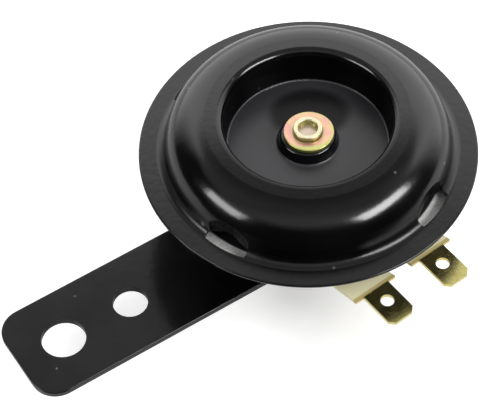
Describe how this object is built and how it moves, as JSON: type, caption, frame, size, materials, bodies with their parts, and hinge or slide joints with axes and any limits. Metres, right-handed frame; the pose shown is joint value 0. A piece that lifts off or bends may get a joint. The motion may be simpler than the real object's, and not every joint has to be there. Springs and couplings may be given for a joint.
{
  "type": "car horn",
  "caption": "Electric disc horn for a vehicle: a slotted pressed tone disc on a sprung diaphragm over a housing with coil, breaker contacts, blade terminals and a strip bracket.",
  "frame": {"origin": "centre of the bracket's large mounting hole, on the bracket's back face", "axes": "+X along the bracket from that hole to the horn's axis, +Z along the horn's axis towards the tone disc, +Y to the side away from the blade terminals"},
  "size_m": [0.1061, 0.0754, 0.0407],
  "materials": {
    "black_paint": "semi-gloss black stoving paint",
    "spring_steel": "bare brushed spring steel",
    "plated_steel": "zinc plate, yellow passivated",
    "bare_steel": "turned steel",
    "zinc_steel": "bright zinc plate",
    "brass": "plain brass strip, slightly tarnished",
    "contact_metal": "contact alloy",
    "copper_wire": "enamelled copper wire",
    "bobbin_plastic": "moulded",
    "insulating_board": "pressed laminate",
    "gasket_board": "pressed fibre"
  },
  "bodies": {
    "base": {"bracket": "black_paint", "housing": "black_paint", "diaphragm_gasket": "gasket_board", "diaphragm": "spring_steel", "pole_core": "zinc_steel", "plain_washer": "zinc_steel", "spring_washer": "zinc_steel", "mounting_nut": "zinc_steel", "coil_bobbin": "bobbin_plastic", "coil_winding": "copper_wire", "contact_leaf": "brass", "contact_bridge": "brass", "moving_contact": "contact_metal", "fixed_contact": "contact_metal", "contact_post": "insulating_board", "contact_collars": "insulating_board", "contact_rivet": "zinc_steel", "adjuster_bush": "zinc_steel", "terminal_left": "brass", "terminal_right": "brass", "outer_insulator": "insulating_board", "inner_insulator": "insulating_board", "lead_tags": "brass", "terminal_rivets": "brass"},
    "sounder": {"tone_disc": "black_paint", "disc_washer": "plated_steel", "disc_spacer": "bare_steel", "clamp_washer": "bare_steel", "armature": "plated_steel"},
    "adjuster": {"adjusting_screw": "zinc_steel"}
  },
  "joints": [
    {"name": "diaphragm_stroke", "type": "slide", "parent": "base", "child": "sounder", "axis": [0, 0, 1], "range_m": [-0.0005, 0.0005], "stiffness_N_per_m": 30000, "deforming": ["diaphragm", "contact_leaf"]},
    {"name": "adjuster_turn", "type": "hinge", "parent": "base", "child": "adjuster", "pos_m": [0.07078, 0.0178, 0.0083], "axis": [0, 0, 1], "range_deg": [-180, 180]}
  ]
}
